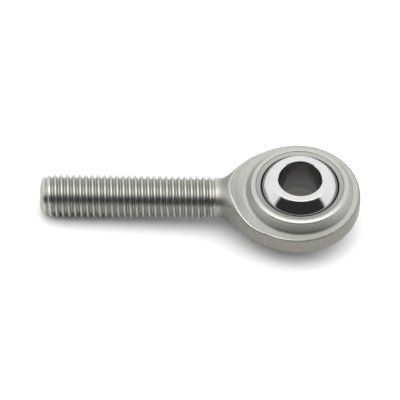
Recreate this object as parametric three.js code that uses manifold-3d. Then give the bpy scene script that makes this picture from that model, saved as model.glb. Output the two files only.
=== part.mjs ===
// Male rod end bearing with a quarter-inch fine thread: a forged eye and threaded shank in one piece,
// a race held inside the eye, a thin liner in the race, and a bored ball that turns and tilts in it.
// Millimetres. The origin is the centre of the shank's end face, +X runs along the shank to the ball,
// and +Z is the axis of the ball's bore.
import * as THREE from "three";
import { mergeVertices } from "three/addons/utils/BufferGeometryUtils.js";
import Module from "manifold-3d";

// Layout along the shank
const shankLength = 38.1; // shank end to ball centre
const threadEnd = 26.1; // where the thread has faded into the neck
const fadeLength = 1.2;
const coneLength = 1.6; // the neck's hidden end tapers inside the thread over this length

// Thread, 28 to the inch, right-handed
const threadPitch = 25.4 / 28;
const crestRadius = 3.14;
const rootRadius = 2.62;
const flankAngle = THREE.MathUtils.degToRad(30);
const threadColumns = 16; // steps in one turn
const tipProfile = [
  [0, 0],
  [1.6, 0],
  [2.2, 0.11],
  [2.6, 0.36],
  [2.85, 0.9],
]; // the shank's rounded end, in (radius, distance from the end)
const tipTaper = 1.0; // the crests grow to full height over this length beyond it
const neckRadius = 2.87;

// Eye
const webHalf = 1.46; // half the thickness of the flat web round the raised ring
const eyeRadius = 9.02; // at the web's edge
const eyeOffset = -0.25; // the forged eye's centre is this far along X from the ball's
const rimBulge = 0.18; // the forged rim stands out this much further at mid height
const crestHalf = 3.22; // the raised ring's height above the eye's middle plane
const crestRing = 6.58; // radius of its highest line
const crestDrop = 0.11; // the ring's inner edge is lower by this much
const bandInner = 6.2; // inside the crest the ring runs in to here, for the pocket to cut
const outerSlope = [
  [8.25, webHalf],
  [7.98, 1.5],
  [7.84, 1.64],
  [7.21, 2.86],
  [7.08, 3.06],
  [6.85, 3.17],
]; // (radius, height) from the web up to the crest

// The eye's side, as half-widths along X from the ball's centre: two cubic Bezier curves,
// one along the flank and one round the fillet to the neck
const flankCurve = [
  [-2.43, 8.94],
  [-5.54, 8.18],
  [-7.86, 6.66],
  [-9.3, 5.0],
];
const filletCurve = [
  [-9.3, 5.0],
  [-10.35, 3.79],
  [-11.1, neckRadius],
  [threadEnd - shankLength, neckRadius],
];
const flankSteps = 10;
const filletSteps = 9;
const webEnd = -6.3; // the web is flat to here and rises beyond it
const ridgeEnd = -10.35; // where it reaches the top of the neck
const roundEnd = -11; // sections are round up to here and grow squarer towards the eye
const squareSpan = 8; // over this length
const squareGain = 1.85; // by this much in the exponent of their outline
const flareSides = 40;

// Bearing: concentric spheres with a running gap between them
const ballRadius = 6.35;
const ballHalf = 4.7;
const boreRadius = 3.175;
const boreBevel = 0.15;
const runningGap = 0.035;
const seatGap = 0.03; // between pieces that don't move against each other
const linerThickness = 0.1;
const linerHalf = 2.8;
const raceHalf = 3.0; // at its inner edge
const raceThickness = 0.63;
const raceFaceRise = 0.12; // the race's end faces rise this much towards the outer edge
const ringSteps = 48; // facets round each turned piece
const arcStep = THREE.MathUtils.degToRad(6);

const linerInner = ballRadius + runningGap;
const linerOuter = linerInner + linerThickness;
const raceInner = linerOuter + seatGap;
const raceOuter = raceInner + raceThickness;
const pocketRadius = raceOuter + seatGap;

const wasm = await Module();
wasm.setup();

// A closed three.js geometry as a solid that can be joined and cut.
function solidOf(geometry) {
  const tolerance = 1e-4;
  const bare = geometry.clone();
  bare.deleteAttribute("normal");
  bare.deleteAttribute("uv");
  const merged = mergeVertices(bare, tolerance);
  return new wasm.Manifold(
    new wasm.Mesh({
      numProp: 3,
      vertProperties: merged.attributes.position.array,
      triVerts: new Uint32Array(merged.index.array),
    }),
  );
}

function geometryOf(solid) {
  const mesh = solid.getMesh();
  const geometry = new THREE.BufferGeometry();
  geometry.setAttribute("position", new THREE.BufferAttribute(mesh.vertProperties, 3));
  geometry.setIndex(new THREE.BufferAttribute(mesh.triVerts, 1));
  geometry.computeVertexNormals();
  return geometry;
}

// A solid turned about the bore's axis. The outline, in (radius, height) points, starts and ends on
// that axis.
function turned(outline) {
  const points = outline.map(([r, z]) => new THREE.Vector2(r, z));
  return new THREE.LatheGeometry(points, ringSteps).rotateX(Math.PI / 2);
}

// A ring about the same axis. Its outline runs up the outside and down the inside, and is closed here.
const turnedRing = (outline) => turned([...outline, outline[0]]);

// Points of a sphere's outline between two heights, in (radius, height).
function sphereArc(radius, fromZ, toZ) {
  const start = Math.asin(fromZ / radius);
  const end = Math.asin(toZ / radius);
  const count = Math.max(2, Math.round(Math.abs(end - start) / arcStep));
  return Array.from({ length: count + 1 }, (_, i) => {
    const angle = start + ((end - start) * i) / count;
    return [radius * Math.cos(angle), radius * Math.sin(angle)];
  });
}

// The mirror image of an upper outline, in the order that carries on from it.
const below = (points) => points.map(([r, z]) => [r, -z]).reverse();

function ballGeometry() {
  const bore = [
    [boreRadius + boreBevel, ballHalf],
    [boreRadius, ballHalf - boreBevel],
  ];
  return turnedRing([...sphereArc(ballRadius, -ballHalf, ballHalf), ...bore, ...below(bore)]);
}

function linerGeometry() {
  return turnedRing([
    ...sphereArc(linerOuter, -linerHalf, linerHalf),
    ...sphereArc(linerInner, linerHalf, -linerHalf),
  ]);
}

function raceGeometry() {
  const outerHalf = raceHalf + raceFaceRise;
  return turnedRing([
    ...sphereArc(raceOuter, -outerHalf, outerHalf),
    ...sphereArc(raceInner, raceHalf, -raceHalf),
  ]);
}

// The raised ring on both faces of the eye: an outer slope, a rounded crest and a band inside it.
function raisedRing() {
  const sunk = 0.2; // the ring's foot starts this far inside the web
  const outside = [
    [outerSlope[0][0], webHalf - sunk],
    ...outerSlope,
    [crestRing, crestHalf],
    [bandInner, crestHalf - crestDrop],
  ];
  return turnedRing([...below(outside), ...outside]);
}

// The hollow that holds the race: a sphere whose openings are narrower than its middle.
function racePocket() {
  const mouth = raceHalf + raceFaceRise;
  const arc = sphereArc(pocketRadius, 0, mouth);
  const mouthRadius = arc[arc.length - 1][0];
  const above = crestHalf + 1; // clear of the crest
  const upper = [...arc, [mouthRadius, above], [0, above]];
  return turned([...below(upper), ...upper.slice(1)]);
}

// The round, flat part of the eye, whose forged rim stands out a little at mid height.
function eyeDisc() {
  const halfwayShare = 0.8; // of the bulge is left halfway up to the web
  const upper = [
    [eyeRadius + rimBulge, 0],
    [eyeRadius + halfwayShare * rimBulge, webHalf / 2],
    [eyeRadius, webHalf],
    [0, webHalf],
  ];
  return turned([...below(upper), ...upper.slice(1)]).translate(eyeOffset, 0, 0);
}

// Points of the eye's side, from just inside the round eye to the neck.
function neckOutline() {
  const curve = (points) =>
    new THREE.CubicBezierCurve(...points.map(([x, y]) => new THREE.Vector2(x, y)));
  const insideEye = new THREE.Vector2(-1, 8.5);
  const flank = curve(flankCurve).getPoints(flankSteps);
  const fillet = curve(filletCurve).getPoints(filletSteps);
  return [insideEye, ...flank, ...fillet.slice(1)];
}

// From the round eye to the round neck: rounded sections that narrow towards the neck. Their tops
// are cut flat at the web, which rises to the full height of the neck at a ridge.
function neckFlare() {
  const proud = 0.01; // the flare's faces stand this far above the disc's, so that they cut cleanly
  const shy = 0.04; // and inside the disc they lie this far below them
  const insideDisc = -2;
  const sections = neckOutline().map(({ x, y }) => {
    const rise = THREE.MathUtils.clamp((webEnd - x) / (webEnd - ridgeEnd), 0, 1);
    const square = THREE.MathUtils.clamp((x - roundEnd) / squareSpan, 0, 1);
    const web = x < insideDisc ? webHalf + proud : webHalf - shy;
    return {
      x,
      wide: y,
      high: neckRadius,
      top: web + (neckRadius - web) * rise ** 2,
      power: 2 / (2 + squareGain * square),
    };
  });
  const coneRadius = rootRadius - 0.1;
  sections.push({
    ...sections[sections.length - 1],
    x: threadEnd - shankLength - coneLength,
    wide: coneRadius,
    high: coneRadius,
  });
  const steps = sections.length - 1;
  const rod = new THREE.CylinderGeometry(1, 1, steps, flareSides, steps).rotateZ(Math.PI / 2);
  const place = rod.attributes.position;
  const bowed = (value, power) => Math.sign(value) * Math.abs(value) ** power;
  for (let i = 0; i < place.count; i++) {
    const section = sections[Math.round(steps / 2 - place.getX(i))];
    const y = section.wide * bowed(place.getY(i), section.power);
    const z = section.high * bowed(place.getZ(i), section.power);
    place.setXYZ(i, section.x, y, THREE.MathUtils.clamp(z, -section.top, section.top));
  }
  return rod;
}

// The outline that the thread is cut down to, turned about the shank: a rounded tip,
// and a fade where the thread runs out into the neck. It clears the crests in between.
function shankEnvelope() {
  const clear = 0.2;
  const [shoulderRadius, shoulderX] = tipProfile[tipProfile.length - 1];
  const tipSlope = tipTaper / (crestRadius - shoulderRadius);
  const fadeSlope = fadeLength / (crestRadius - neckRadius);
  const points = [
    ...tipProfile,
    [crestRadius + clear, shoulderX + tipTaper + clear * tipSlope],
    [crestRadius + clear, threadEnd - fadeLength - clear * fadeSlope],
    [neckRadius, threadEnd],
    [0, threadEnd],
  ].map(([r, x]) => new THREE.Vector2(r, x));
  return new THREE.LatheGeometry(points, threadColumns).rotateZ(-Math.PI / 2);
}

// A long screw: one thread outline repeated along each column of a turn, each column a little
// further along than the last, closed by a fan at each end.
function screw(turns) {
  const flankRun = (crestRadius - rootRadius) * Math.tan(flankAngle);
  const crestFlat = threadPitch / 8; // the standard share of the pitch
  const rootFlat = threadPitch - crestFlat - 2 * flankRun;
  const outline = [
    [0, rootRadius],
    [rootFlat, rootRadius],
    [rootFlat + flankRun, crestRadius],
    [rootFlat + flankRun + crestFlat, crestRadius],
  ];
  const perTurn = outline.length;
  const perColumn = perTurn * turns + 1;
  const positions = [];
  for (let column = 0; column < threadColumns; column++) {
    const share = column / threadColumns;
    for (let i = 0; i < perColumn; i++) {
      const [x, r] = outline[i % perTurn];
      const along = x + threadPitch * (Math.floor(i / perTurn) + share);
      const angle = 2 * Math.PI * share;
      positions.push(along, r * Math.cos(angle), r * Math.sin(angle));
    }
  }
  const startCentre = positions.length / 3;
  positions.push(threadPitch / 2, 0, 0);
  positions.push(threadPitch * (turns + 0.5), 0, 0);
  const at = (column, i) =>
    column < threadColumns ? column * perColumn + i : i + perTurn;
  const faces = [];
  for (let column = 0; column < threadColumns; column++) {
    const last = column === threadColumns - 1 ? perColumn - perTurn : perColumn;
    for (let i = 0; i < last - 1; i++) {
      const corners = [at(column, i), at(column + 1, i), at(column + 1, i + 1), at(column, i + 1)];
      faces.push(corners[0], corners[1], corners[2], corners[0], corners[2], corners[3]);
    }
  }
  const columns = Array.from({ length: threadColumns }, (_, column) => column);
  const step = Array.from({ length: perTurn + 1 }, (_, i) => i);
  const startLoop = [...columns.map((c) => c * perColumn), ...step.slice(1).reverse()];
  const endLoop = [
    ...columns.map((c) => (c + 1) * perColumn - 1),
    ...step.slice(1).map((i) => threadColumns * perColumn - 1 - i),
  ];
  startLoop.forEach((from, i) => {
    faces.push(startCentre, startLoop[(i + 1) % startLoop.length], from);
  });
  endLoop.forEach((from, i) => {
    faces.push(startCentre + 1, from, endLoop[(i + 1) % endLoop.length]);
  });
  const geometry = new THREE.BufferGeometry();
  geometry.setAttribute("position", new THREE.Float32BufferAttribute(positions, 3));
  geometry.setIndex(faces);
  return geometry;
}

function bodyGeometry() {
  const spareTurns = 3; // cut off again at the two ends
  const turns = Math.ceil(threadEnd / threadPitch) + spareTurns;
  const threads = screw(turns).translate((-spareTurns / 2) * threadPitch, 0, 0);
  const shank = solidOf(threads).intersect(solidOf(shankEnvelope()));
  const eye = solidOf(eyeDisc())
    .add(solidOf(neckFlare()))
    .add(solidOf(raisedRing()))
    .subtract(solidOf(racePocket()));
  return geometryOf(shank.add(eye.translate([shankLength, 0, 0])));
}

function piece(name, geometry, colour, roughness, metalness) {
  const material = new THREE.MeshStandardMaterial({ color: colour, roughness, metalness });
  const mesh = new THREE.Mesh(geometry, material);
  mesh.name = name;
  return mesh;
}

const rodEnd = new THREE.Group();
rodEnd.add(piece("rod_end_body", bodyGeometry(), 0xb9bab5, 0.42, 1.0));

const bearing = new THREE.Group();
bearing.position.x = shankLength;
bearing.add(piece("outer_race", raceGeometry(), 0xa4a59f, 0.38, 1.0));
bearing.add(piece("bearing_liner", linerGeometry(), 0x2c2d27, 0.7, 0.0));
bearing.add(piece("ball", ballGeometry(), 0xe6e6e4, 0.08, 1.0));
rodEnd.add(bearing);

export default rodEnd;
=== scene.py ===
import math

import bpy
from mathutils import Matrix, Vector


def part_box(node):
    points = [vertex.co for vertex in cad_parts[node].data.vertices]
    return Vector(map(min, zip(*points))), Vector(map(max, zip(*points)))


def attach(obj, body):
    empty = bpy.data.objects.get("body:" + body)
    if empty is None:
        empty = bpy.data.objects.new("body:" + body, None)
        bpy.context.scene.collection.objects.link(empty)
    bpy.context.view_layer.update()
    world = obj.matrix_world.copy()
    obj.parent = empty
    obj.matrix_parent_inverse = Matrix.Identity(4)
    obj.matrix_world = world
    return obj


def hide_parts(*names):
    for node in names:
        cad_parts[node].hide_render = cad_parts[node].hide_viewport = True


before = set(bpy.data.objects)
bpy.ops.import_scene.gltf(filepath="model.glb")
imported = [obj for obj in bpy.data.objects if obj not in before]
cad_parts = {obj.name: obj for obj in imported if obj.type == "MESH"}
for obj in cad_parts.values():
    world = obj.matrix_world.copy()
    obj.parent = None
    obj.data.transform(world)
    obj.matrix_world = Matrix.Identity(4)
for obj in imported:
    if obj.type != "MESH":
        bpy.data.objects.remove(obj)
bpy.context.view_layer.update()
print("frame loaded")

mm = 0.001
ballLow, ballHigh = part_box("ball")
ballCentre = (ballLow + ballHigh) / 2  # on the shank's axis; the bore runs along Z through it


# helpers for outlines and meshes

def curvePoints(handles, count):
    # count + 1 points along a Bezier curve of any degree
    points = []
    for step in range(count + 1):
        level = [Vector(handle) for handle in handles]
        while len(level) > 1:
            level = [a.lerp(b, step / count) for a, b in zip(level, level[1:])]
        points.append(level[0])
    return points


def roundedOutline(corners, segments=4):
    # a closed outline from (x, y, edge radius) corners: each rounded corner becomes a small curve
    # with one more point on either side of it, which keeps the faces next to it flat
    outline = []
    for i, (x, y, edge) in enumerate(corners):
        corner = Vector((x, y))
        if not edge:
            outline.append(corner)
            continue
        before = Vector(corners[i - 1][:2]) - corner
        after = Vector(corners[(i + 1) % len(corners)][:2]) - corner
        start = corner + before.normalized() * edge
        end = corner + after.normalized() * edge
        if before.length > 3 * edge:
            outline.append(corner + before.normalized() * edge * 1.5)
        outline += curvePoints([start, corner, end], segments)
        if after.length > 3 * edge:
            outline.append(corner + after.normalized() * edge * 1.5)
    return outline


def sphereOutline(radius, fromZ, toZ, count):
    # corners without rounding along a sphere's side, the two ends left out
    start, end = math.asin(fromZ / radius), math.asin(toZ / radius)
    angles = [start + (end - start) * i / count for i in range(1, count)]
    return [(radius * math.cos(angle), radius * math.sin(angle), 0) for angle in angles]


def onSphere(radius, z):
    return math.sqrt(radius**2 - z**2)


def smoothed(piece, angle=35):
    bpy.ops.object.select_all(action="DESELECT")
    piece.select_set(True)
    bpy.context.view_layer.objects.active = piece
    bpy.ops.object.shade_smooth_by_angle(angle=math.radians(angle))


def merged(piece):
    # shared vertices joined, and all faces turned outwards
    bpy.ops.object.mode_set(mode="EDIT")
    bpy.ops.mesh.select_all(action="SELECT")
    bpy.ops.mesh.remove_doubles(threshold=0.0008 * mm)
    bpy.ops.mesh.normals_make_consistent(inside=False)
    bpy.ops.object.mode_set(mode="OBJECT")


def turnedPiece(name, outline, steps=160):
    # a ring: its closed outline of (radius, height) points is spun about the bore's axis
    bpy.ops.object.select_all(action="DESELECT")
    bpy.ops.mesh.primitive_circle_add(vertices=len(outline), radius=mm, fill_type="NOTHING")
    piece = bpy.context.object
    piece.name = piece.data.name = name
    for vertex, (radius, height) in zip(piece.data.vertices, outline):
        vertex.co = ballCentre + Vector((radius, 0, height)) * mm
    bpy.ops.object.mode_set(mode="EDIT")
    bpy.ops.mesh.select_all(action="SELECT")
    bpy.ops.mesh.spin(steps=steps, angle=2 * math.pi, center=ballCentre, axis=(0, 0, 1))
    bpy.ops.object.mode_set(mode="OBJECT")
    merged(piece)
    smoothed(piece)
    return piece


# shader helpers

class Wire:
    # a shader value: sums and products of it add Math nodes to its tree
    def __init__(self, tree, socket):
        self.tree = tree
        self.socket = socket

    def math(self, operation, *values):
        node = self.tree.nodes.new("ShaderNodeMath")
        node.operation = operation
        for slot, value in zip(node.inputs, values):
            feed(self.tree, slot, value)
        return Wire(self.tree, node.outputs[0])

    def __add__(self, other):
        return self.math("ADD", self, other)

    def __radd__(self, other):
        return self.math("ADD", other, self)

    def __sub__(self, other):
        return self.math("SUBTRACT", self, other)

    def __rsub__(self, other):
        return self.math("SUBTRACT", other, self)

    def __mul__(self, other):
        return self.math("MULTIPLY", self, other)

    def __rmul__(self, other):
        return self.math("MULTIPLY", other, self)

    def __truediv__(self, other):
        return self.math("DIVIDE", self, other)

    def __pow__(self, other):
        return self.math("POWER", self, other)

    def absolute(self):
        return self.math("ABSOLUTE", self)


def feed(tree, slot, value):
    if isinstance(value, Wire):
        tree.links.new(value.socket, slot)
    else:
        slot.default_value = value


class Finish:
    # the node tree of a material or of the world
    def __init__(self, owner):
        owner.use_nodes = True
        self.tree = owner.node_tree
        self.tree.nodes.clear()

    def node(self, kind, settings=None, values=None, out=0):
        added = self.tree.nodes.new("ShaderNode" + kind)
        for key, value in (settings or {}).items():
            setattr(added, key, value)
        for key, value in (values or {}).items():
            feed(self.tree, added.inputs[key], value)
        return Wire(self.tree, added.outputs[out]) if len(added.outputs) else None

    def placeInMm(self):
        place = self.node("TexCoord", out="Object")
        return self.node("VectorMath", {"operation": "SCALE"}, {0: place, "Scale": 1000})

    def axes(self, vector):
        split = self.tree.nodes.new("ShaderNodeSeparateXYZ")
        feed(self.tree, split.inputs[0], vector)
        return [Wire(self.tree, output) for output in split.outputs]

    def noise(self, vector, scale, detail=2.0, roughness=0.5):
        values = {"Vector": vector, "Scale": scale, "Detail": detail, "Roughness": roughness}
        return self.node("TexNoise", None, values)

    def ramp(self, value, start, end, low=0.0, high=1.0):
        # rises smoothly from low to high as value goes from start to end
        values = {"Value": value, "From Min": start, "From Max": end, "To Min": low, "To Max": high}
        return self.node("MapRange", {"interpolation_type": "SMOOTHSTEP"}, values)

    def colour(self, factor, first, second):
        return self.node("Mix", {"data_type": "RGBA"}, {0: factor, 6: first, 7: second}, out=2)

    def bump(self, height, distance, strength=1.0):
        values = {"Height": height, "Distance": distance * mm, "Strength": strength}
        return self.node("Bump", None, values)

    def surface(self, values):
        shader = self.node("BsdfPrincipled", None, values)
        self.node("OutputMaterial", None, {"Surface": shader})


def grey(level, warm=0.0):
    return (level * (1 + warm), level, level * (1 - warm), 1)


def fromAxisAt(centre, x, y):
    # distance from an upright axis through y = 0, in millimetres
    return ((x - centre) ** 2 + y**2) ** 0.5


def painted(piece, material, body, node):
    piece.data.materials.clear()
    piece.data.materials.append(material)
    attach(piece, body)
    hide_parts(node)


# ball: a chromed sphere cut flat on two sides, with a bore through it

ballPiece = {
    "radius": 6.35,
    "half": 4.7,
    "bore": 3.175,
    "boreBevel": 0.15,
    "faceEdge": 0.06,
    "boreEdge": 0.03,
    "base": 0.46,
    "boreBase": 0.25,
    # the bore's paler tone, used for its tool mark and for painted floor light in its lower part
    "boreMarkAndFloorLight": 0.34,
    "roughness": 0.035,
    "toolMark": 0.15,  # height of the tool mark round the bore
}


def ballOutline():
    p = ballPiece
    faceRadius = onSphere(p["radius"], p["half"])
    side = sphereOutline(p["radius"], -p["half"], p["half"], 44)
    bevelRadius = p["bore"] + p["boreBevel"]
    bevelHalf = p["half"] - p["boreBevel"]
    corners = [(faceRadius, -p["half"], p["faceEdge"])] + side
    corners += [(faceRadius, p["half"], p["faceEdge"]), (bevelRadius, p["half"], p["boreEdge"])]
    corners += [(p["bore"], bevelHalf, p["boreEdge"]), (p["bore"], -bevelHalf, p["boreEdge"])]
    corners += [(bevelRadius, -p["half"], p["boreEdge"])]
    return roundedOutline(corners)


def chromeFinish():
    material = bpy.data.materials.new("chromed steel")
    finish = Finish(material)
    place = finish.placeInMm()
    x, y, z = finish.axes(place)
    radius = fromAxisAt(ballCentre.x / mm, x, y)
    cloud = finish.noise(place, 0.55, 3.0, 0.6)
    smear = finish.noise(place, 2.4, 2.0, 0.55)
    inBore = finish.ramp(radius, ballPiece["bore"] + 0.04, ballPiece["bore"] + 0.01)
    turning = finish.noise(finish.node("CombineXYZ", None, {"X": z * 9}), 1.0, 2.0)
    roughness = ballPiece["roughness"] + 0.03 * finish.ramp(cloud, 0.45, 0.7)
    roughness = roughness + 0.02 * finish.ramp(smear, 0.5, 0.75) + 0.2 * inBore
    tone = finish.colour(cloud, grey(ballPiece["base"], 0.005), grey(ballPiece["base"] + 0.04))
    toolMark = finish.ramp((z - ballPiece["toolMark"]).absolute(), 0.12, 0.02)
    # painted light: the bore's lower part is painted paler and warmer, for the floor's light seen
    # down the bore
    floorLightInBore = finish.ramp(z, -1.3, -1.5) * (1 - 0.35 * finish.ramp(z, -1.9, -2.1))
    dull, bright = grey(ballPiece["boreBase"], 0.03), grey(ballPiece["boreMarkAndFloorLight"], 0.07)
    bore = finish.colour(0.5 * toolMark + floorLightInBore, dull, bright)
    tone = finish.colour(inBore, tone, bore)
    height = turning * inBore + 0.15 * cloud
    finish.surface({
        "Base Color": tone,
        "Metallic": 1.0,
        "Roughness": roughness,
        "Normal": finish.bump(height, 0.01, 0.35),
    })
    return material


ball = turnedPiece("chromed_ball", ballOutline())
painted(ball, chromeFinish(), "ball", "ball")
print("ball turned")


# liner: a thin dark sleeve between the ball and the race

linerPiece = {"inner": 6.385, "outer": 6.485, "half": 2.8, "edge": 0.02, "base": 0.018}


def linerOutline():
    p = linerPiece
    outerEdge, innerEdge = onSphere(p["outer"], p["half"]), onSphere(p["inner"], p["half"])
    corners = [(outerEdge, -p["half"], p["edge"])]
    corners += sphereOutline(p["outer"], -p["half"], p["half"], 24)
    corners += [(outerEdge, p["half"], p["edge"]), (innerEdge, p["half"], p["edge"])]
    corners += sphereOutline(p["inner"], p["half"], -p["half"], 24)
    corners += [(innerEdge, -p["half"], p["edge"])]
    return roundedOutline(corners, 3)


def linerFinish():
    material = bpy.data.materials.new("dark liner")
    finish = Finish(material)
    place = finish.placeInMm()
    fibre = finish.noise(place, 9.0, 3.0, 0.6)
    patch = finish.noise(place, 1.3, 2.0)
    base = linerPiece["base"]
    tone = finish.colour(patch, grey(base, 0.1), grey(base * 2.2, 0.06))
    finish.surface({
        "Base Color": tone,
        "Roughness": 0.55 + 0.25 * fibre,
        "Normal": finish.bump(fibre, 0.03, 0.6),
    })
    return material


liner = turnedPiece("dark_liner", linerOutline())
painted(liner, linerFinish(), "liner", "bearing_liner")
print("liner turned")


# race: the thin steel ring that the liner sits in, with turned end faces

racePiece = {
    "inner": 6.515,
    "outer": 7.145,
    "half": 3.0,
    "rise": 0.12,
    "edge": 0.025,
    "base": 0.262,
    "roughness": 0.34,
    "lineWidth": 0.035,
}


def raceOutline():
    p = racePiece
    outerHalf = p["half"] + p["rise"]
    outerEdge, innerEdge = onSphere(p["outer"], outerHalf), onSphere(p["inner"], p["half"])
    corners = [(outerEdge, -outerHalf, p["edge"])]
    corners += sphereOutline(p["outer"], -outerHalf, outerHalf, 24)
    corners += [(outerEdge, outerHalf, p["edge"]), (innerEdge, p["half"], p["edge"])]
    corners += sphereOutline(p["inner"], p["half"], -p["half"], 24)
    corners += [(innerEdge, -p["half"], p["edge"])]
    return roundedOutline(corners, 3)


def turnedLines(finish, radius, width):
    # uneven concentric lines about the bore, as a lathe tool leaves
    across = finish.node("CombineXYZ", None, {"X": radius / width})
    return finish.noise(across, 1.0, 1.0)


def raceFinish():
    material = bpy.data.materials.new("turned steel")
    finish = Finish(material)
    place = finish.placeInMm()
    x, y, z = finish.axes(place)
    radius = fromAxisAt(ballCentre.x / mm, x, y)
    lines = turnedLines(finish, radius, racePiece["lineWidth"])
    cloud = finish.noise(place, 1.1, 3.0)
    base = racePiece["base"]
    dull = (base * 0.86, base * 0.88, base * 0.82, 1)
    bright = (base * 1.1, base * 1.12, base * 1.06, 1)
    tone = finish.colour(cloud * 0.6 + lines * 0.4, dull, bright)
    finish.surface({
        "Base Color": tone,
        "Metallic": 1.0,
        "Roughness": racePiece["roughness"] + 0.14 * lines + 0.06 * cloud,
        "Normal": finish.bump(lines, 0.012, 0.7),
    })
    return material


race = turnedPiece("outer_race_ring", raceOutline())
painted(race, raceFinish(), "housing", "outer_race")
print("race turned")


# forged eye and neck, about the ball's centre: one quarter of it as a grid, mirrored twice

eyePiece = {
    "eyeOffset": -0.25,
    "eyeRadius": 9.02,  # at the web's edge
    "rimBulge": 0.18,
    "webHalf": 1.46,
    "roundTo": 103.7,  # degrees from +X round to where the flank leaves the circle
    "roundColumns": 60,
    "partingColumns": 32,
    "neckColumns": 24,
    "pocketRows": 8,
    "webRows": 8,
    "edgeRows": 6,
    "wallRows": 14,
    "pocket": 7.175,
    "edgeSetback": 0.12,
    "wallSetback": 0.18,
    "rimPower": 3.85,  # how late the rim's bulge falls off towards the web
    "ridgeEase": 1.75,  # how closely the flank's columns follow each other at the neck
    "webEase": 1.3,
    "webRise": 1.2,
    "valleyShare": 0.25,  # how far the ring's foot rises with the ridge beside it
    "neckRadius": 2.87,
    "neckEnd": -11.8,
    "ridgeEnd": -10.35,
    "webEnd": -6.3,
    "squareStart": -11,
    "squareLength": 8,
    "squarePower": 1.1,
    "squareGain": 1.85,
}
flankCurve = [(-2.43, 8.94), (-5.54, 8.18), (-7.86, 6.66), (-9.3, 5.0)]
filletCurve = [(-9.3, 5.0), (-10.35, 3.79), (-11.1, 2.87), (-11.8, 2.87)]
# the raised ring's section in (radius, height): mouth to crest, crest to slope, slope, fillet
ringCurves = [
    ([(6.45, 3.09), (6.455, 3.17), (6.5, 3.2), (6.58, 3.22)], 5),
    ([(6.58, 3.22), (6.86, 3.19), (7.07, 3.07)], 5),
    ([(7.07, 3.07), (7.17, 3.0), (7.23, 2.83)], 5),
    ([(7.23, 2.83), (7.83, 1.66)], 5),
    ([(7.83, 1.66), (7.93, 1.47), (8.3, 1.46)], 7),
]
# rows of the grid where the ring, the web and the side wall begin
ringStart = eyePiece["pocketRows"]
webStart = ringStart + sum(count for _, count in ringCurves)
wallStart = webStart + eyePiece["webRows"] + eyePiece["edgeRows"]


def clamp(value, low, high):
    return max(low, min(high, value))


def halfWidth(x):
    # the parting outline's half width, found by halving along the Bezier curves
    p = eyePiece
    if x >= flankCurve[0][0]:
        return math.sqrt((p["eyeRadius"] + p["rimBulge"]) ** 2 - (x - p["eyeOffset"]) ** 2)
    handles = flankCurve if x > flankCurve[-1][0] else filletCurve
    low, high = 0.0, 1.0
    for _ in range(30):
        t = (low + high) / 2
        s = 1 - t
        weights = (s**3, 3 * s * s * t, 3 * s * t * t, t**3)
        along = sum(weight * handle[0] for weight, handle in zip(weights, handles))
        low, high = (t, high) if along > x else (low, t)
    return sum(weight * handle[1] for weight, handle in zip(weights, handles))


def squareness(x):
    # exponent of the section's outline: 2 is round, larger is squarer
    p = eyePiece
    along = clamp((x - p["squareStart"]) / p["squareLength"], 0, 1)
    return 2 + p["squareGain"] * along ** p["squarePower"]


def flarePoint(x, theta):
    # the outer surface between the eye and the neck; theta 0 is the parting line
    power = 2 / squareness(x)
    side = halfWidth(x) * max(math.cos(theta), 0) ** power
    return Vector((x, side, eyePiece["neckRadius"] * max(math.sin(theta), 0) ** power))


def ridgeHeight(x):
    p = eyePiece
    rise = clamp((p["webEnd"] - x) / (p["webEnd"] - p["ridgeEnd"]), 0, 1)
    return p["webHalf"] + (p["neckRadius"] - p["webHalf"]) * rise**2


def ridgeAngle(x):
    share = clamp(ridgeHeight(x) / eyePiece["neckRadius"], 0, 1)
    return math.asin(share ** (squareness(x) / 2))


def rimWall(phi, count):
    # the round rim from the web's edge down to the parting line
    p = eyePiece
    points = []
    for row in range(count + 1):
        height = p["webHalf"] * (1 - row / count)
        bulge = p["rimBulge"] * (1 - (height / p["webHalf"]) ** p["rimPower"])
        radius = p["eyeRadius"] + bulge
        x = p["eyeOffset"] + radius * math.cos(phi)
        points.append(Vector((x, radius * math.sin(phi), height)))
    return points


def flareWall(column, count):
    # the flank's side from the ridge down to the parting line, or along the neck to its end
    p = eyePiece
    columns = p["partingColumns"] + p["neckColumns"]
    share = column / columns
    phi = math.radians(p["roundTo"])
    startX = p["eyeOffset"] + p["eyeRadius"] * math.cos(phi)
    topX = startX + (p["ridgeEnd"] - startX) * (1 - (1 - share) ** p["ridgeEase"])
    topTheta = ridgeAngle(topX)
    along = clamp(column / p["partingColumns"], 0, 1)
    footX = flankCurve[0][0] + (p["neckEnd"] - flankCurve[0][0]) * along
    footTheta = math.pi / 2 * clamp((column - p["partingColumns"]) / p["neckColumns"], 0, 1)
    power = squareness(topX) / 2
    points = []
    for row in range(count + 1):
        down = row / count
        x = topX + (footX - topX) * down
        theta = footTheta + (topTheta - footTheta) * (1 - down) ** power
        points.append(flarePoint(x, theta))
    return points


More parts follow.
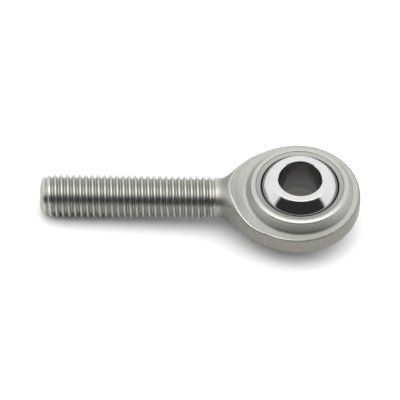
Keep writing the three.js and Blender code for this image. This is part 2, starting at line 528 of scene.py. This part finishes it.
def eyeColumn(column):
    # one line of points from the race's pocket over the raised ring and the web, down the side
    p = eyePiece
    if column <= p["roundColumns"]:
        wall = rimWall(math.radians(p["roundTo"]) * column / p["roundColumns"], p["wallRows"])
    else:
        wall = flareWall(column - p["roundColumns"], p["wallRows"])
    edge = wall[0]
    outward = Vector((edge.x, edge.y, 0)).normalized()
    top = p["webHalf"] + p["valleyShare"] * (edge.z - p["webHalf"])
    crestRadius, crest = ringCurves[1][0][0]
    points = []
    mouth = math.asin(ringCurves[0][0][0][1] / p["pocket"])
    for row in range(p["pocketRows"]):
        angle = mouth * row / p["pocketRows"]
        upward = Vector((0, 0, p["pocket"] * math.sin(angle)))
        points.append(outward * p["pocket"] * math.cos(angle) + upward)
    for handles, count in ringCurves:
        for radius, height in curvePoints(handles, count)[:-1]:
            share = (crest - height) / (crest - p["webHalf"])
            lowered = crest - share * (crest - top) if radius > crestRadius else height
            points.append(outward * radius + Vector((0, 0, lowered)))
    valley = outward * ringCurves[-1][0][-1][0] + Vector((0, 0, top))
    webRun = (edge - valley).length
    last = 1 - p["edgeSetback"] / webRun
    for row in range(p["webRows"]):
        share = last * (1 - (1 - row / (p["webRows"] - 1)) ** p["webEase"])
        point = valley.lerp(edge, share)
        point.z = top + (edge.z - top) * share ** p["webRise"]
        points.append(point)
    lower, wall = setBack(wall, p["wallSetback"])
    points += curvePoints([points[-1], edge, lower], p["edgeRows"])[1:]
    points += wall
    return points


def setBack(wall, distance):
    # the point that far down the wall, and the same number of rows spread below it
    run, lengths = 0, [0]
    for a, b in zip(wall, wall[1:]):
        run += (b - a).length
        lengths.append(run)
    rows = len(wall) - 1
    spread = []
    for row in range(rows + 1):
        target = distance + (run - distance) * row / rows
        i = next((k for k in range(1, rows + 1) if lengths[k] >= target - 1e-9), rows)
        share = (target - lengths[i - 1]) / (lengths[i] - lengths[i - 1])
        spread.append(wall[i - 1].lerp(wall[i], share))
    return spread[0], spread[1:-1] + [wall[-1]]


def nearRow(row, middle, full, fade):
    # 1 within full rows of the middle one, falling to 0 over fade rows more
    return clamp(1 + (full - abs(row - middle)) / fade, 0, 1)


def sharesAt(row, column):
    # where the forged surface differs or painted light and shade go, from 0 to 1 at each point of
    # the grid
    roundColumns = eyePiece["roundColumns"]
    onFlank = clamp((column / roundColumns - 0.7) / 0.35, 0, 1)  # 0 along the round rim
    onRidge = nearRow(row, wallStart - 4, 1, 2) * onFlank
    onCrest = nearRow(row, ringStart + 9, 2.5, 5)
    return {
        # worn, with a painted highlight: most along the ridge's edge, and a little on the ring's
        # crest
        "burnishAndHighlight": max(onRidge, 0.5 * onCrest),
        # the side walls and the neck, darker partly in the sheared surface's own tone and partly in
        # painted shade
        "side": clamp((row - wallStart + 3) / 2, 0, 1),
        # a thin line of painted shade along the round rim's edge
        "edgeShadeLine": nearRow(row, wallStart - 5, 1.2, 1) * (1 - onFlank),
        # the raised ring's slope and down round its foot: rougher, with painted shade at its front
        # and back and a painted highlight at its ends
        "slope": nearRow(row, webStart - 6, 2, 4),
        # painted shade in the corner at the slope's foot
        "foot": nearRow(row, webStart - 4.5, 1.25, 2.5),
    }


def movedGrid(name, columns):
    # a grid primitive whose vertices are moved to the columns' points
    rows = len(columns[0])
    bpy.ops.object.select_all(action="DESELECT")
    across, along = rows - 1, len(columns) - 1
    bpy.ops.mesh.primitive_grid_add(x_subdivisions=across, y_subdivisions=along, size=mm)
    piece = bpy.context.object
    piece.name = piece.data.name = name
    flat = [point for column in columns for point in column]
    for vertex, point in zip(piece.data.vertices, flat):
        vertex.co = ballCentre + point * mm
    shares = [sharesAt(i % rows, i // rows) for i in range(len(flat))]
    for key in shares[0]:
        attribute = piece.data.attributes.new(key, "FLOAT", "POINT")
        attribute.data.foreach_set("value", [share[key] for share in shares])
    return piece


def forgedEye():
    p = eyePiece
    total = p["roundColumns"] + p["partingColumns"] + p["neckColumns"]
    eye = movedGrid("forged_eye", [eyeColumn(column) for column in range(total + 1)])
    mirror = eye.modifiers.new("halves", "MIRROR")
    mirror.use_axis = (False, True, True)
    mirror.merge_threshold = 0.001 * mm
    bpy.ops.object.modifier_apply(modifier=mirror.name)
    return eye


# threaded shank: one turn's outline, screwed along X

threadPiece = {
    "pitch": 25.4 / 28,
    "crest": 3.14,
    "root": 2.62,
    "crestFlat": 0.2,
    "crestEdge": 0.06,
    "rootEdge": 0.05,
    "roundSteps": 96,
    "tipFace": 1.6,  # radius of the flat end face
    "tipShoulder": 2.85,  # the end's rounded edge reaches this radius
    "tipRound": 0.9,  # over this length
    "tipTaper": 1.0,  # and the crests grow to full height over this one
    "end": 26.3,
    "fade": 1.4,
    "coneLength": 1.8,  # the last roots rise to the neck on a cone of this length
    "coneUnder": 0.1,  # which starts this far below them
}


def threadOutline():
    # (x, radius) points of one pitch, from the middle of a root to the middle of the next
    p = threadPiece
    flank = (p["crest"] - p["root"]) * math.tan(math.radians(30))
    crestHalf = p["crestFlat"] / 2
    middle = p["pitch"] / 2
    rootFoot = middle - crestHalf - flank
    half = [(0, p["root"], 0), (rootFoot, p["root"], p["rootEdge"])]
    half += [(middle - crestHalf, p["crest"], p["crestEdge"])]
    mirrored = [(p["pitch"] - x, radius, edge) for x, radius, edge in reversed(half)]
    return roundedOutline(half + mirrored, 3)


def shankRadius(x, radius):
    # the thread cut to the tip's chamfer and faded into the neck
    p = threadPiece
    neck = eyePiece["neckRadius"]
    bend = math.sqrt(1 - clamp(1 - x / p["tipRound"], 0, 1) ** 2)
    tip = p["tipFace"] + (p["tipShoulder"] - p["tipFace"]) * bend
    tip += (p["crest"] - p["tipShoulder"]) * max(0, x - p["tipRound"]) / p["tipTaper"]
    fading = neck + (p["crest"] - neck) * (p["end"] - x) / p["fade"]
    cone = neck - (neck - p["root"] + p["coneUnder"]) * (p["end"] - x) / p["coneLength"]
    return max(min(radius, tip, max(fading, neck)), min(cone, neck))


def threadedShank():
    p = threadPiece
    outline = threadOutline()
    bpy.ops.object.select_all(action="DESELECT")
    bpy.ops.mesh.primitive_circle_add(vertices=len(outline), radius=mm, fill_type="NOTHING")
    shank = bpy.context.object
    shank.name = shank.data.name = "threaded_shank"
    for vertex, (x, radius) in zip(shank.data.vertices, outline):
        vertex.co = Vector((x - 2 * p["pitch"], 0, radius)) * mm
    closing = [e for e in shank.data.edges if set(e.vertices) == {0, len(outline) - 1}]
    for kind in (shank.data.vertices, shank.data.edges):
        kind.foreach_set("select", [False] * len(kind))
    closing[0].select = True
    bpy.ops.object.mode_set(mode="EDIT")
    bpy.ops.mesh.select_mode(type="EDGE")
    bpy.ops.mesh.delete(type="EDGE")
    bpy.ops.object.mode_set(mode="OBJECT")
    screw = shank.modifiers.new("thread", "SCREW")
    screw.axis = "X"
    screw.screw_offset = p["pitch"] * mm
    screw.iterations = math.ceil(p["end"] / p["pitch"]) + 5
    screw.steps = screw.render_steps = p["roundSteps"]
    bpy.ops.object.modifier_apply(modifier=screw.name)
    neckEnd = ballCentre.x / mm + eyePiece["neckEnd"]
    for vertex in shank.data.vertices:
        x, y, z = vertex.co / mm
        radius = math.hypot(y, z)
        x = clamp(x, 0, neckEnd)
        share = shankRadius(x, radius) / radius
        vertex.co = Vector((x, y * share, z * share)) * mm
    merged(shank)
    fillTip(shank)
    return shank


def fillTip(shank):
    # the flat end face, closed and inset once
    bpy.ops.object.mode_set(mode="EDIT")
    bpy.ops.mesh.select_mode(type="EDGE")
    bpy.ops.mesh.select_all(action="DESELECT")
    bpy.ops.object.mode_set(mode="OBJECT")
    for edge in shank.data.edges:
        edge.select = all(shank.data.vertices[v].co.x < 0.001 * mm for v in edge.vertices)
    bpy.ops.object.mode_set(mode="EDIT")
    bpy.ops.mesh.edge_face_add()
    bpy.ops.mesh.select_mode(type="FACE")
    bpy.ops.mesh.inset(thickness=0.1 * mm)
    bpy.ops.object.mode_set(mode="OBJECT")
    for vertex in shank.data.vertices:
        vertex.co.x = max(vertex.co.x, 0)


forgedLook = {
    "lineWidth": 0.04,
    "neckShadeStart": 29.4,  # along X, where the neck's painted shade starts on the sides
    "neckShadeFull": 27.0,
    "neckTopShadeStart": 27.7,  # and on the faces
    "neckTopShadeFull": 27.3,
    "bandRadius": 7.05,  # the turned band round the mouth reaches this far out
    "bandFade": 0.15,
    "bump": 0.055,
}
forgedTones = {
    "cloudDark": (0.33, 0.332, 0.31, 1),
    "cloudPale": (0.362, 0.363, 0.338, 1),
    # the side walls' darker tone: partly the sheared surface's own, partly painted shade
    "side": (0.216, 0.209, 0.184, 1),
    # painted shade on the slope's front and back, and a painted highlight at its ends
    "slopeFrontShade": (0.15, 0.15, 0.138, 1),
    "slopeEndsHighlight": (0.44, 0.44, 0.41, 1),
    # painted shade in the corner at the slope's foot
    "foot": (0.09, 0.09, 0.08, 1),
    # painted shade on the neck
    "neck": (0.19, 0.187, 0.168, 1),
    "speckle": (0.19, 0.19, 0.175, 1),
    "streak": (0.165, 0.16, 0.145, 1),
    # worn edges, partly a painted highlight
    "wornAndHighlight": (0.45, 0.45, 0.425, 1),
    # painted shade: a thin dark line along the rim's edge
    "edgeShadeLine": (0.06, 0.057, 0.05, 1),
    "threadDark": (0.37, 0.37, 0.345, 1),
    "threadPale": (0.42, 0.418, 0.392, 1),
    # painted shade in the thread's roots
    "threadRootShade": (0.2, 0.2, 0.18, 1),
    "threadCrest": (0.32, 0.32, 0.3, 1),
}


def forgedFinish():
    material = bpy.data.materials.new("forged steel")
    finish = Finish(material)
    look, tones, thread = forgedLook, forgedTones, threadPiece
    place = finish.placeInMm()
    x, y, z = finish.axes(place)

    # where on the piece it is
    onThread = finish.ramp(x, thread["end"] + 0.7, thread["end"] - 1.0)
    fromShank = (y**2 + z**2) ** 0.5
    onCrest = finish.ramp(fromShank, thread["crest"] - 0.1, thread["crest"] - 0.03)
    inRoot = finish.ramp(fromShank, thread["root"] + 0.2, thread["root"])
    eyeAway = fromAxisAt(ballCentre.x / mm + eyePiece["eyeOffset"], x, y)
    onRim = finish.ramp(eyeAway, 8.98, 9.08) * (1 - onThread)
    radius = fromAxisAt(ballCentre.x / mm, x, y)
    lines = turnedLines(finish, radius, look["lineWidth"])
    onBand = finish.ramp(radius, look["bandRadius"] + look["bandFade"], look["bandRadius"])
    onBand = onBand * finish.ramp(z**2, 8.0, 9.0)
    across = (y / radius) ** 2
    # the grid's shares, most of them masks for painted light and shade
    wornAndHighlight, onSide, edgeShadeLine, slope, foot = [
        finish.node("Attribute", {"attribute_name": key}, out=2)
        for key in ("burnishAndHighlight", "side", "edgeShadeLine", "slope", "foot")
    ]
    # where the neck's painted shade lies, on its faces and on its sides
    neckTopShade = finish.ramp(x, look["neckTopShadeStart"], look["neckTopShadeFull"])
    neckShade = finish.ramp(x, look["neckShadeStart"], look["neckShadeFull"])
    neckShade = neckShade * (onSide + (1 - onSide) * neckTopShade)

    # scale and dirt
    grain = finish.noise(place, 3.6, 3.0, 0.7)
    pits = finish.noise(place, 1.5, 3.0, 0.6)
    cloud = finish.noise(place, 0.3, 3.0, 0.55)
    upright = finish.node("VectorMath", {"operation": "MULTIPLY"}, {0: place, 1: (3.4, 3.4, 0.9)})
    streaks = finish.noise(upright, 1.0, 3.0, 0.65)

    tone = finish.colour(cloud, tones["cloudDark"], tones["cloudPale"])
    # side walls darker: partly their own sheared tone, partly painted shade
    tone = finish.colour(onSide * (0.8 + 0.4 * (pits - 0.5)), tone, tones["side"])
    # painted shade on the slope's front and back, then a painted highlight at its ends
    tone = finish.colour(slope * across * 0.6, tone, tones["slopeFrontShade"])
    tone = finish.colour(slope * (1 - across) * 0.6, tone, tones["slopeEndsHighlight"])
    # painted shade in the corner at the slope's foot, most at the front and back
    tone = finish.colour(foot * across * 0.8, tone, tones["foot"])
    # painted shade on the neck
    tone = finish.colour(neckShade * 0.8, tone, tones["neck"])
    tone = finish.colour(finish.ramp(grain, 0.38, 0.66) * 0.25, tone, tones["speckle"])
    tone = finish.colour(onRim * finish.ramp(streaks, 0.42, 0.62) * 0.35, tone, tones["streak"])
    # worn edges made paler, partly a painted highlight
    tone = finish.colour(wornAndHighlight * 0.6, tone, tones["wornAndHighlight"])
    # painted shade: a thin dark line along the rim's edge
    tone = finish.colour(edgeShadeLine * 0.85, tone, tones["edgeShadeLine"])
    clean = finish.colour(pits, tones["threadDark"], tones["threadPale"])
    # painted shade in the thread's roots
    clean = finish.colour(inRoot * 0.25, clean, tones["threadRootShade"])
    clean = finish.colour(onCrest * 0.6, clean, tones["threadCrest"])
    tone = finish.colour(onThread, tone, clean)
    roughness = 0.42 + 0.16 * (grain - 0.5) + 0.08 * (cloud - 0.5) - 0.2 * wornAndHighlight + 0.12 * slope
    roughness = roughness - onThread * (0.12 + 0.04 * onCrest) - 0.06 * onBand
    height = (grain * 0.6 + pits * 0.4 + 0.5 * streaks * onRim) * (1 - 0.75 * onThread)
    height = height * (1 - 0.5 * onBand) + 0.3 * lines * onBand
    finish.surface({
        "Base Color": tone,
        "Metallic": 1.0,
        "Roughness": roughness,
        "Normal": finish.bump(height, look["bump"], 1.0),
    })
    return material


rodEnd = forgedEye()
shank = threadedShank()
bpy.ops.object.select_all(action="DESELECT")
shank.select_set(True)
rodEnd.select_set(True)
bpy.context.view_layer.objects.active = rodEnd
bpy.ops.object.join()
merged(rodEnd)
smoothed(rodEnd, 50)
rodEnd.name = rodEnd.data.name = "forged_rod_end"
painted(rodEnd, forgedFinish(), "housing", "rod_end_body")
print("forged body made,", sum(len(f.vertices) - 2 for f in rodEnd.data.polygons), "triangles")


# studio: floor, light tent and camera

studio = {
    "floorSize": 3.0,
    "floorGrey": 0.82,
    "back": 1.62,
    "side": 1.5,
    "overhead": 3.1,
    "stripFront": 62,
    "stripBack": 104,
    "stripSoft": 11,
    "stripEnd": 0.72,
    "stripFade": 0.15,
    "backFrom": -0.4,
    "backTo": 0.6,
    "dark": 0.05,
    "darkHalfAzimuth": 68,
    "darkLow": -4,
    "darkHigh": 52,
    "darkFall": 0.27,  # the opening is this much lower per degree to the side
    "darkSide": 6,
    "darkTop": 6,
    "darkFoot": 3,
}

cameraView = {
    "azimuth": 0.02,
    "elevation": 51.0,
    "roll": 0.79,
    "distance": 0.628,
    "lens": 384.6,
    "ballRight": 0.0146066,  # from the picture's middle to the ball's centre, in metres
    "ballDown": -0.000187,
}


def paleFloor():
    bpy.ops.object.select_all(action="DESELECT")
    bpy.ops.mesh.primitive_plane_add(size=studio["floorSize"], location=(0, 0, 0))
    floor = bpy.context.object
    floor.name = "floor"
    # it touches the ball's lower face at its near edge and the first full crest of the thread
    nearEdge = ballCentre.x - onSphere(ballPiece["radius"], ballPiece["half"]) * mm
    firstCrest = (threadPiece["tipRound"] + threadPiece["tipTaper"]) * mm
    slope = math.atan2((ballPiece["half"] - threadPiece["crest"]) * mm, nearEdge - firstCrest)
    floor.rotation_euler.y = slope
    floor.location.z = -threadPiece["crest"] * mm + math.tan(slope) * firstCrest
    material = bpy.data.materials.new("pale floor")
    finish = Finish(material)
    place = finish.placeInMm()
    shade = finish.noise(place, 0.02, 2.0)
    level = studio["floorGrey"]
    finish.surface({
        "Base Color": finish.colour(shade, grey(level), grey(level * 1.02)),
        "Roughness": 0.8,
        "Specular IOR Level": 0.1,
    })
    floor.data.materials.append(material)


def tentLight():
    # a white tent with a long bright strip overhead and one dark opening low in front
    world = bpy.data.worlds.new("light tent")
    bpy.context.scene.world = world
    finish = Finish(world)
    direction = finish.node("TexCoord", out="Generated")
    x, y, z = finish.axes(direction)
    degree = math.pi / 180
    elevation = z.math("ARCSINE", z) / degree
    azimuth = x.math("ARCTAN2", x, -1 * y) / degree
    aside = azimuth.absolute()
    over = z.math("ARCTAN2", z, -1 * y) / degree  # 0 is the front horizon and 90 straight above
    front, rear, soft = studio["stripFront"], studio["stripBack"], studio["stripSoft"]
    overhead = finish.ramp(over, front - soft, front + soft)
    overhead = overhead * finish.ramp(over, rear + soft, rear - soft)
    end, fade = studio["stripEnd"], studio["stripFade"]
    overhead = overhead * finish.ramp(x.absolute(), end + fade, end - fade)
    behind = finish.ramp(y, studio["backFrom"], studio["backTo"])
    level = studio["side"] + (studio["back"] - studio["side"]) * behind
    level = level + (studio["overhead"] - level) * overhead
    half, soft = studio["darkHalfAzimuth"], studio["darkSide"]
    opening = finish.ramp(aside, half + soft, half - soft)
    low, soft = studio["darkLow"], studio["darkFoot"]
    opening = opening * finish.ramp(elevation, low - soft, low + soft)
    high, soft = studio["darkHigh"], studio["darkTop"]
    fallen = elevation + aside * studio["darkFall"]
    opening = opening * finish.ramp(fallen, high + soft, high - soft)
    level = level + (studio["dark"] - level) * opening
    light = finish.node("Background", None, {"Color": (1, 1, 1, 1), "Strength": level})
    finish.node("OutputWorld", None, {"Surface": light})


def studioCamera():
    view = cameraView
    a, e, r = (math.radians(view[key]) for key in ("azimuth", "elevation", "roll"))
    back = Vector((math.sin(a) * math.cos(e), -math.cos(a) * math.cos(e), math.sin(e)))
    level = Vector((math.cos(a), math.sin(a), 0))
    upright = back.cross(level)
    right = math.cos(r) * level + math.sin(r) * upright
    up = math.cos(r) * upright - math.sin(r) * level
    aside = up * view["ballDown"] - right * view["ballRight"]
    turn = Matrix((right, up, back)).transposed().to_4x4()
    turn.translation = ballCentre + back * view["distance"] + aside
    camera = bpy.data.objects.new("camera", bpy.data.cameras.new("camera"))
    bpy.context.scene.collection.objects.link(camera)
    camera.data.lens = view["lens"]
    camera.data.clip_start = 0.05
    camera.matrix_world = turn
    bpy.context.scene.camera = camera


paleFloor()
tentLight()
studioCamera()
bpy.context.scene.view_settings.view_transform = "Standard"
print("studio set")
